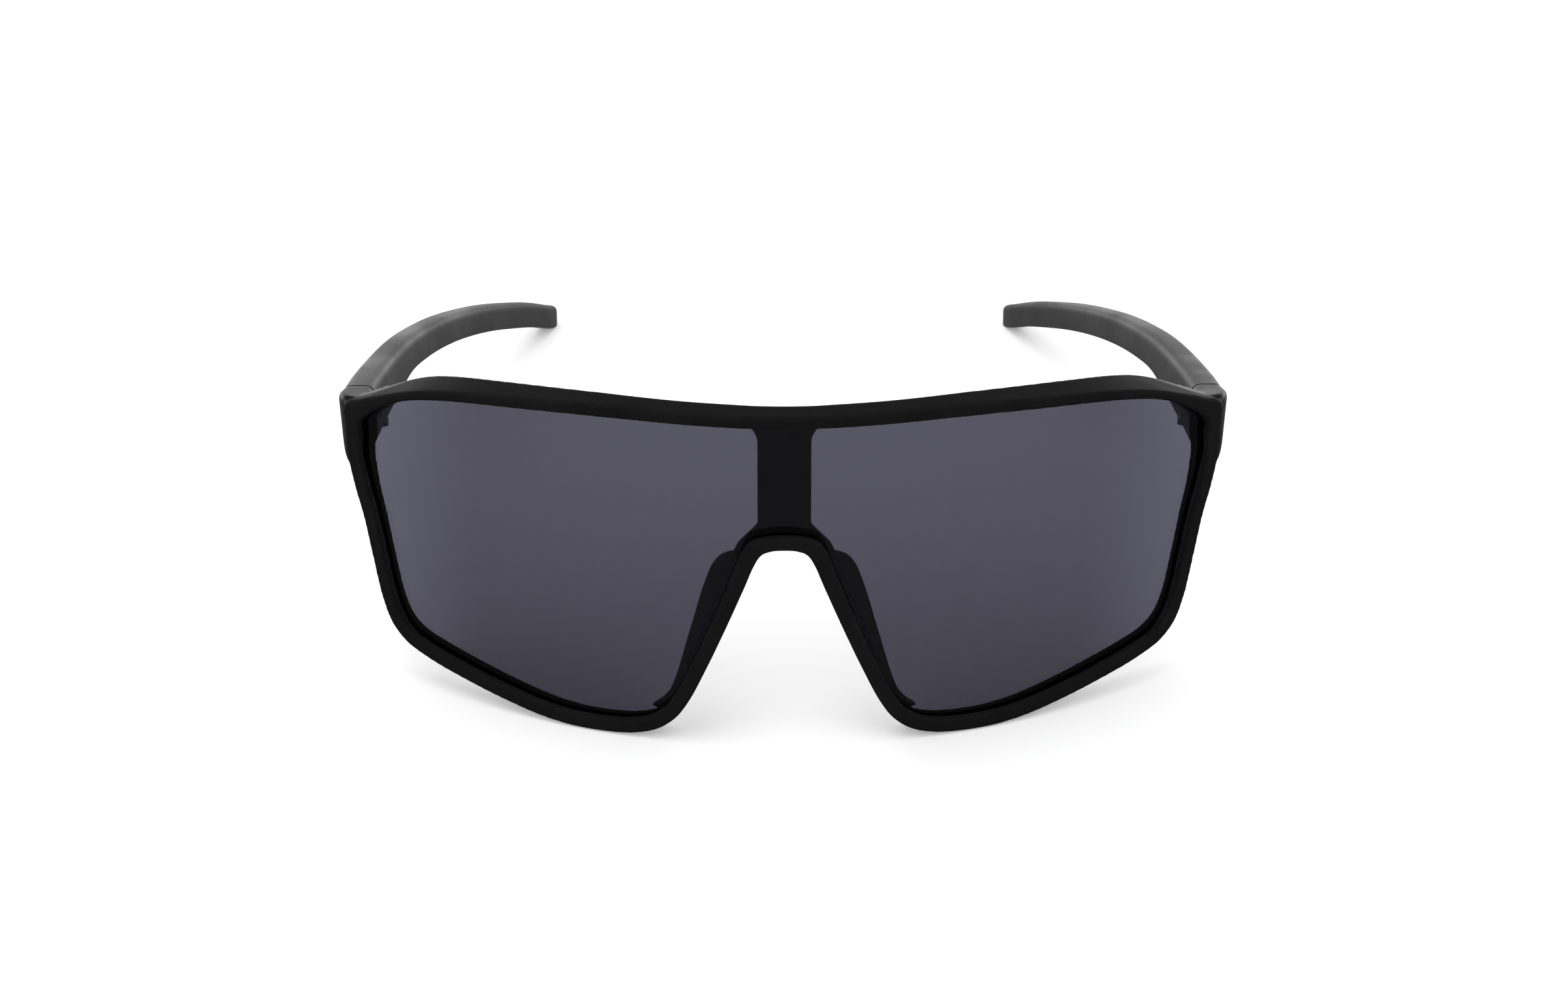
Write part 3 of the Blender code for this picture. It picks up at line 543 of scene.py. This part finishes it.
# length share, outer and inner face in shares of the temple's thickness, shares of the height and of the cut
endTurns = [
    (1.000, 0.42, 0.16, 1.08, 1.00), (0.820, 0.12, 0.12, 1.14, 1.00), (0.500, -0.06, 0.00, 1.16, 1.00),
    (0.250, -0.05, 0.00, 1.08, 0.55), (0.000, 0.00, 0.00, 1.00, 0.00),
]


def rimBlank():
    sections = []
    for outer, inner, depth in rimStations(shell["steps"]):
        lip = (inner - outer).length
        inward = (inner - outer).normalized()
        flange = lip - front["flangeInset"]
        growth = (depth / front["depth"]) ** shell["slopeGrowth"]
        slope = shell["browSlope"] * overhead(outer, inner) * growth
        middle = (lensFront + lensBack) / 2
        outline = softCorners([
            (0, depth, shell["backRound"]), (slope, 0, shell["outerRound"]), (lip, 0, shell["lipRound"]),
            (lip, middle, 0), (flange, middle, 0), (flange, depth, shell["lipRound"])])
        section = []
        for across, back in outline:
            point = outer + across * inward
            section.append((point.x, back, point.y))
        sections.append(section)
    return skin("rimBlank", sections, closed=True)


def barBlank():
    stations = noseSide(rimStations(shell["steps"]))
    foot = front["lip"] + shell["noseFlange"]
    lip = rimTurns[0][3] * front["lip"]
    brow = rimTurns[0][1] * front["height"] - lip
    half, fillet = shell["barWidth"] / 2, shell["barFillet"]
    right = [(half + fillet, brow + front["seatShare"] * lip)]
    for k in range(shell["filletSteps"] + 1):
        angle = math.radians(90 + 90 * k / shell["filletSteps"])
        right.append((half + fillet * (1 + math.cos(angle)), brow - fillet * (1 - math.sin(angle))))
    flange = []
    for outer, inner, _ in stations:
        point = inner + shell["noseFlange"] * (inner - outer).normalized()
        if point.x > half + shell["noseGusset"] and inner.y > foot:
            flange.append(tuple(point))
    right.append((half, flange[0][1] + flange[0][0] - half))
    right += flange
    right += [tuple(outer.lerp(inner, front["seatShare"])) for outer, inner, _ in stations[::-1]
              if inner.y > foot + shell["noseFlange"] and outer.x > 0]
    middle = stations[0][0].lerp(stations[0][1], front["seatShare"]).y
    outline = right + [(0, middle)] + [(-x, y) for x, y in right[::-1]]
    return flatPanel("barBlank", outline, lensBack, front["depth"] - shell["barRecess"], shell["fold"])


def endBlank(side):
    length = temple["setback"] + temple["bite"]
    sections = []
    for along, outer, inner, below, cut in curveThrough(endTurns, shell["endSteps"], closed=False):
        y = -along * length - temple["gap"] / 2
        right = barrelOffset + temple["thickness"] * (1 - outer)
        left = barrelOffset - temple["thickness"] * inner
        low = hingeDrop - below * temple["rootHeight"]
        soft, crisp = temple["edgeRound"], temple["innerRound"]
        shape = softCorners([
            (left, low, crisp),
            (right - temple["draft"], low, soft + cut * temple["cutWidth"], soft + cut * temple["cutHeight"]),
            (right, hingeDrop, soft), (left, hingeDrop, temple["topRound"])])
        sections.append([hinges[side] @ Vector((side * x, y, z)) for x, z in shape])
    return skin("endBlank", sections)


def lensOutline(clearance):
    points = []
    for outer, inner, _ in rimStations(shell["steps"] // 2):
        above = overhead(outer, inner)
        under = front["seatShare"] + above * (front["browSeatShare"] - front["seatShare"])
        points.append(outer.lerp(inner, under) - clearance * (inner - outer).normalized())
    return points


def joinMeshes(name, items):
    bm = bmesh.new()
    for item in items:
        bm.from_mesh(item.data)
        bpy.data.objects.remove(item)
    mesh = bpy.data.meshes.new(name)
    bm.to_mesh(mesh)
    bm.free()
    return addPiece(name, mesh)


def makeFrontFrame():
    pieces = [roll("rim", rimBlank(), blackNylon), roll("bar", barBlank(), blackNylon)]
    pieces += [addPiece("end", endBlank(side)) for side in (1, -1)]
    blank = joinMeshes("frontBlank", pieces)
    grown = blank.modifiers.new("grow together", "REMESH")
    grown.mode = "VOXEL"
    grown.voxel_size = shell["voxel"] * 1
    blank = settle(blank, "frontBlank")
    evenOut(blank, shell["smoothing"])
    groove = flatPanel("pocket", lensOutline(front["gap"]), front["lipDepth"], pocketBack, shell["fold"])
    pocket = roll("pocket", groove, blackNylon)
    cut = blank.modifiers.new("lens groove", "BOOLEAN")
    cut.operation, cut.solver, cut.object = "DIFFERENCE", "EXACT", pocket
    item = settle(blank, "frontFrame")
    bpy.data.objects.remove(pocket)
    for vert in item.data.vertices:
        vert.co.x = min(max(vert.co.x, cadBox[0][0]), cadBox[1][0])
        vert.co.z = min(max(vert.co.z, insideBox["bottom"]), cadBox[1][2] - insideBox["top"])
    takeMaterial(item, dullNylon)
    markEdges(item, shell)
    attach(item, "front")
    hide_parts("front_frame")
    print("front frame", len(item.data.polygons), "faces")


makeFrontFrame()


# Lens: one polished smoke panel in the groove

def makeLens():
    mesh = flatPanel("lens", lensOutline(0), lensFront, lensBack, shell["fold"])
    item = roll("shieldLens", mesh, smokeLens)
    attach(item, "front")
    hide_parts("shield_lens")
    print("lens", len(item.data.polygons), "faces")


makeLens()


# Nose pads: soft blades on the back of the nose flange

pad = {
    "base": 0.0026, "inset": 0.0007, "reach": 0.0044, "depth": 0.0086, "edge": 0.0014, "waist": 0.45,
    "seat": -0.0001, "rimSteps": 4, "heightSteps": 6, "sectionSteps": 4, "voxel": 0.00022, "smoothing": 8,
    "wearSize": 0.0003, "wearGain": 2.0,
}

# height share, share of the reach, share of the depth
padTurns = [(0.556, 0.10, 0.10), (0.530, 0.62, 0.42), (0.490, 0.90, 0.72), (0.440, 1.00, 0.92),
            (0.370, 0.97, 1.00), (0.300, 0.86, 1.00), (0.240, 0.74, 0.90), (0.185, 0.58, 0.74),
            (0.130, 0.38, 0.50), (0.085, 0.18, 0.24)]


def makePad(word, side):
    stations = noseSide(rimStations(pad["rimSteps"]))
    heights = [station[0].y for station in stations][::-1]
    arcs = [station[0].x for station in stations][::-1]
    seat = front["depth"] + pad["seat"]
    sections = []
    for height, reach, depth in curveThrough(padTurns, pad["heightSteps"], closed=False):
        z = height * front["height"]
        start = float(np.interp(z, heights, arcs)) + pad["inset"]
        out, back = reach * pad["reach"], depth * pad["depth"]
        edge = min(pad["edge"], back)
        waist, far = pad["waist"] * out, start + pad["base"]
        outline = [
            (start, seat), (start + waist, seat + back / 2), (start + out, seat + back - edge / 4),
            (start + out + edge / 3, seat + back), (start + out + edge, seat + back - edge / 3),
            (far + waist, seat + back / 2 - edge / 4), (far, seat)]
        fine = curveThrough(outline, pad["sectionSteps"], closed=False)
        sections.append([(side * p[0], p[1], z) for p in fine])
    item = roll("pad", skin("pad", sections), blackRubber)
    grown = item.modifiers.new("grow together", "REMESH")
    grown.mode = "VOXEL"
    grown.voxel_size = pad["voxel"]
    item = settle(item, "nosePad" + word.capitalize())
    evenOut(item, pad["smoothing"])
    takeMaterial(item, blackRubber)
    markEdges(item, pad)
    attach(item, "front")
    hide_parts("nose_pad_" + word)


# Temples

# shares of the length, inward curve, drop, height and thickness
templeTurns = [
    (0.000, 0.000, 0.000, 1.000, 1.000), (0.066, 0.006, 0.004, 0.935, 0.990),
    (0.197, 0.046, 0.009, 0.745, 0.960), (0.311, 0.101, 0.022, 0.562, 0.920),
    (0.410, 0.171, 0.066, 0.515, 0.880), (0.525, 0.274, 0.145, 0.492, 0.845),
    (0.639, 0.403, 0.269, 0.470, 0.805), (0.738, 0.539, 0.401, 0.462, 0.785),
    (0.820, 0.673, 0.541, 0.457, 0.765), (0.902, 0.820, 0.703, 0.450, 0.745),
    (0.967, 0.940, 0.878, 0.435, 0.725), (0.990, 0.978, 0.938, 0.395, 0.665),
    (0.9975, 0.999, 0.992, 0.300, 0.500), (1.000, 1.026, 1.070, 0.140, 0.220),
]
draftTurns = [(0.000, 1.00), (0.200, 0.80), (0.400, 0.25), (0.550, 0.00)]  # length share, share of the draft


def makeTemple(word, side):
    rows = []
    for along, inward, drop, height, thickness in templeTurns:
        y = temple["gap"] / 2 + along * (temple["length"] - temple["gap"] / 2)
        thick = thickness * temple["thickness"]
        outer = barrelOffset + temple["thickness"] - inward * temple["inward"]
        draft = temple["draft"] * float(np.interp(along, *zip(*draftTurns)))
        rows.append((outer - thick / 2, y, hingeDrop - drop * temple["drop"], height * temple["rootHeight"],
                     thick, draft))
    rows = curveThrough(rows, temple["steps"], closed=False)
    sections = []
    for i, (x, y, top, height, thick, draft) in enumerate(rows):
        before, after = rows[max(i - 1, 0)], rows[min(i + 1, len(rows) - 1)]
        turn = math.atan2(before[0] - after[0], after[1] - before[1]) if i else 0.0
        soft = min(temple["edgeRound"], thick / temple["edgeParts"], height / temple["edgeParts"])
        full = min(temple["topRound"], thick / temple["topParts"], height / temple["topParts"])
        crisp = min(temple["innerRound"], soft)
        half = thick / 2
        shape = softCorners([(-half, top - height, crisp), (half - draft, top - height, soft),
                             (half, top, soft), (-half, top, full)])
        sections.append([hinges[side] @ Vector((side * (x + a * math.cos(turn)), y + a * math.sin(turn), z))
                         for a, z in shape])
    item = addPiece("temple" + word.capitalize(), skin("temple", sections))
    for vert in item.data.vertices:
        vert.co.z = max(vert.co.z, insideBox["bottom"])
    takeMaterial(item, blackNylon)
    markEdges(item, temple)
    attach(item, word + "_arm")
    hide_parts("temple_" + word)
    print("temple", word, len(item.data.polygons), "faces")


# Hinge leaves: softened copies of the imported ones

leaf = {
    "weld": 2e-6, "flatAngle": math.radians(1), "bevel": 0.00012, "segments": 2,
    "bevelFrom": math.radians(40), "wearSize": 0.0002, "wearGain": 1.5,
}


def makeLeaf(node, body):
    bm = bmesh.new()
    bm.from_mesh(frame["nodes"][node].data)
    bmesh.ops.remove_doubles(bm, verts=bm.verts, dist=leaf["weld"])
    bmesh.ops.dissolve_limit(bm, angle_limit=leaf["flatAngle"], verts=bm.verts, edges=bm.edges)
    mesh = bpy.data.meshes.new(node)
    bm.to_mesh(mesh)
    bm.free()
    item = addPiece(node + "Draft", mesh)
    bevel = item.modifiers.new("broken edges", "BEVEL")
    bevel.width, bevel.segments, bevel.limit_method = leaf["bevel"], leaf["segments"], "ANGLE"
    bevel.angle_limit = leaf["bevelFrom"]
    words = node.split("_")
    item = settle(item, words[0] + "".join(word.capitalize() for word in words[1:]))
    takeMaterial(item, hingeMetal)
    markEdges(item, leaf)
    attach(item, body)
    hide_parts(node)


for word, side in (("right", 1), ("left", -1)):
    makePad(word, side)
    makeTemple(word, side)
    makeLeaf("hinge_front_leaf_" + word, "front")
    makeLeaf("hinge_temple_leaf_" + word, word + "_arm")
print("pads, temples and hinge leaves made")


# Screws: a tree that sets one screw on each point, turned to its axis

screw = {  # the rounding and the slot are in shares of the head
    "sides": 28, "headRound": 0.22, "roundMiddle": 0.3, "slotWidth": 0.16, "slotLength": 0.66,
    "slotDepth": 0.55, "slotTop": 1.3, "slotTaper": 0.75, "wearSize": 0.0002, "wearGain": 1.5,
}


def screwMesh(head, height, shank, length):  # on +Z, underside of the head at 0
    soft = head * screw["headRound"]
    inset = soft * screw["roundMiddle"]
    profile = [(head - soft, height), (head - inset, height - inset), (head, height - soft),
               (head, 0), (shank, 0), (shank, -length)]
    bm = bmesh.new()
    rings = []
    for radius, z in profile:
        rings.append([bm.verts.new((radius * math.cos(2 * math.pi * k / screw["sides"]),
                                    radius * math.sin(2 * math.pi * k / screw["sides"]), z))
                      for k in range(screw["sides"])])
    for a, b in zip(rings, rings[1:]):
        for k in range(screw["sides"]):
            n = (k + 1) % screw["sides"]
            bm.faces.new((a[k], a[n], b[n], b[k]))
    bm.faces.new(rings[0])
    bm.faces.new(rings[-1])
    item = addPiece("screwDraft", finishMesh("screw", bm))
    cutters = []
    wide, long = screw["slotWidth"], screw["slotLength"]
    for across, along in ((wide, long), (long, wide)):
        bm = bmesh.new()
        bmesh.ops.create_cube(bm, size=2.0)
        for vert in bm.verts:
            low = 1 - screw["slotDepth"]
            z = height * (low if vert.co.z < 0 else screw["slotTop"])
            shrink = screw["slotTaper"] if vert.co.z < 0 else 1.0
            vert.co = (vert.co.x * across * head * shrink, vert.co.y * along * head * shrink, z)
        cutters.append(addPiece("slot", finishMesh("slot", bm)))
        cut = item.modifiers.new("slot", "BOOLEAN")
        cut.operation, cut.solver, cut.object = "DIFFERENCE", "EXACT", cutters[-1]
    item = settle(item, "screwMaster")
    for cutter in cutters:
        bpy.data.objects.remove(cutter)
    return item


def screwTree():
    board, entry = newTree("screwOnEachPoint", [("Screw", "Object"), ("Finish", "Material")])
    axis = board.node("GeometryNodeInputNamedAttribute", {"data_type": "FLOAT_VECTOR"}, {"Name": "axis"})
    turn = board.node("FunctionNodeAlignRotationToVector", {"axis": "Z"}, {"Vector": axis})
    info = board.node("GeometryNodeObjectInfo", None, {"Object": entry.other("Screw")})
    spread = board.node("GeometryNodeInstanceOnPoints", None, {
        "Points": entry.other("Geometry"), "Instance": info.other("Geometry"), "Rotation": turn})
    real = board.node("GeometryNodeRealizeInstances", None, {"Geometry": spread})
    done = board.node("GeometryNodeSetMaterial", None, {"Geometry": real, "Material": entry.other("Finish")})
    board.node("NodeGroupOutput", None, {"Geometry": done})
    return board.tree


screwOnEachPoint = screwTree()
pinSeat = hinge["middleKnuckle"] / 2 + temple["gap"] + hinge["sideKnuckle"]
leafScrew = screwMesh(hinge["screwHead"], hinge["screwHeadHeight"], hinge["screw"], hinge["screwLength"])
hingeScrew = screwMesh(hinge["pinHead"], hinge["pinHeadHeight"], hinge["pin"], 2 * pinSeat)


def makeScrews(name, body, master, spots, nodes):
    mesh = bpy.data.meshes.new(name)
    mesh.from_pydata([place for place, _ in spots], [], [])
    directions = mesh.attributes.new("axis", "FLOAT_VECTOR", "POINT")
    directions.data.foreach_set("vector", [v for _, way in spots for v in way])
    item = throughNodes(name, mesh, screwOnEachPoint, {"Screw": master, "Finish": hingeMetal})
    markEdges(item, screw)
    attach(item, body)
    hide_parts(*nodes)


def leafSpots(side, places):
    seat = barrelOffset - 2 * temple["gap"] - hinge["leaf"]
    return [(hinges[side] @ Vector((side * seat, y, z)), (-side, 0, 0)) for y, z in places]


for word, side in (("right", 1), ("left", -1)):
    makeScrews("frontLeafScrews" + word.capitalize(), "front", leafScrew,
               leafSpots(side, [(-hinge["frontSetback"], z * hinge["frontSpread"]) for z in (1, -1)]),
               [f"front_leaf_screw_{word}_{k}" for k in (1, 2)])
    makeScrews("templeLeafScrews" + word.capitalize(), word + "_arm", leafScrew,
               leafSpots(side, [(hinge["templeSetback"] + k * hinge["templePitch"], 0) for k in (0, 1)]),
               [f"temple_leaf_screw_{word}_{k}" for k in (1, 2)])
makeScrews("hingeScrews", "front", hingeScrew,
           [(hinges[side] @ Vector((0, 0, pinSeat + temple["gap"])),
             hinges[side].to_3x3() @ Vector((0, 0, 1))) for side in (1, -1)],
           ["hinge_screw_right", "hinge_screw_left"])
bpy.data.objects.remove(leafScrew)
bpy.data.objects.remove(hingeScrew)
print("screws set")


# Camera at the photograph's angle

shot = {
    "sensor": 36, "focalPixels": 5033, "picturePixels": 2408, "distance": 0.534, "nearest": 0.01,
    "pitch": math.radians(21), "turn": math.radians(-0.3), "aim": Vector((0, 0.031, 0.0301)), "shift": 0.0004,
}


def makeCamera():
    camera = bpy.data.objects.new("camera", bpy.data.cameras.new("camera"))
    scene.collection.objects.link(camera)
    camera.data.sensor_width = shot["sensor"]
    camera.data.lens = shot["sensor"] * shot["focalPixels"] / shot["picturePixels"]
    camera.data.shift_x, camera.data.clip_start = shot["shift"], shot["nearest"]
    look = Vector((0, math.cos(shot["pitch"]), -math.sin(shot["pitch"])))
    camera.matrix_world = (stand @ Matrix.Translation(shot["aim"]) @ Matrix.Rotation(shot["turn"], 4, "Z")
                           @ Matrix.Translation(-shot["distance"] * look)
                           @ Matrix.Rotation(math.pi / 2 - shot["pitch"], 4, "X"))
    scene.camera = camera


makeCamera()


# Stage: pale floor, soft lamps and a studio that is bright behind and dim in front

white = (1, 1, 1, 1)
stage = {
    "floorSize": 6.0, "floorCells": 8, "floorColour": (0.86, 0.86, 0.86, 1), "lift": 0.26, "worldLight": 0.90,
    "frontGlow": 0.05, "skyGlow": 0.07, "glow": 2.9,  # what the glossy surfaces mirror
    "floorRange": (-0.05, 0.50), "rearRange": (0.2, 0.8), "heightRange": (0.0, 0.06),
}


def makeFloor():
    bm = bmesh.new()
    cells = stage["floorCells"]
    bmesh.ops.create_grid(bm, x_segments=cells, y_segments=cells, size=stage["floorSize"] / 2)
    floor = addPiece("floor", finishMesh("floor", bm))
    material, board, place = newFinish("paleFloor")
    path = board.node("ShaderNodeLightPath")
    y = board.node("ShaderNodeSeparateXYZ", None, {0: place}).other(1)
    through = path.other("Is Transmission Ray")
    seen = path.other("Is Camera Ray") + through
    glossy = path.other("Is Glossy Ray") * (1 - through)  # what the lens lets through counts as glossy too
    matt = board.node("ShaderNodeBsdfDiffuse", None, {"Color": stage["floorColour"]})
    glow = board.node("ShaderNodeEmission", None, {"Color": white, "Strength": seen * stage["lift"]})
    plain = board.node("ShaderNodeAddShader", None, {0: matt, 1: glow})
    behind = stage["frontGlow"] + stage["glow"] * y.between(*stage["floorRange"])
    mirrored = board.node("ShaderNodeEmission", None, {"Color": white, "Strength": behind})
    mixed = board.node("ShaderNodeMixShader", None, {0: glossy, 1: plain, 2: mirrored})
    board.node("ShaderNodeOutputMaterial", None, {"Surface": mixed})
    takeMaterial(floor, material)


def makeWorld():
    world = bpy.data.worlds.new("studio")
    world.use_nodes = True
    world.node_tree.nodes.clear()
    board = Board(world.node_tree)
    path = board.node("ShaderNodeLightPath")
    way = board.node("ShaderNodeSeparateXYZ", None, {0: board.node("ShaderNodeTexCoord").other("Generated")})
    y, z = way.other(1), way.other(2)
    horizon = y.between(*stage["rearRange"]) * (1 - z.between(*stage["heightRange"]))
    mirrored = stage["skyGlow"] + stage["glow"] * horizon
    through = path.other("Is Transmission Ray")
    glossy = path.other("Is Glossy Ray") * (1 - through)
    seen = path.other("Is Camera Ray") + through
    rest = (1 - glossy - seen).atLeast(0)
    strength = seen + glossy * mirrored + rest * stage["worldLight"]
    back = board.node("ShaderNodeBackground", None, {"Color": white, "Strength": strength})
    board.node("ShaderNodeOutputWorld", None, {"Surface": back})
    scene.world = world


lamps = [  # name, place, size, power
    ("lampAbove", (-0.25, 0.15, 0.90), 0.90, 2.6),
    ("lampLeft", (-0.80, -0.50, 0.60), 0.60, 0.9),
    ("lampRight", (0.80, -0.50, 0.60), 0.60, 0.9),
]


def makeLamps():
    for name, place, size, power in lamps:
        lamp = bpy.data.objects.new(name, bpy.data.lights.new(name, "AREA"))
        scene.collection.objects.link(lamp)
        lamp.data.energy, lamp.data.size = power, size
        lamp.location = place
        lamp.rotation_euler = (-Vector(place)).to_track_quat("-Z", "Y").to_euler()
        lamp.visible_glossy = False


makeFloor()
makeWorld()
makeLamps()
scene.view_settings.view_transform = "Standard"
print("stage set")
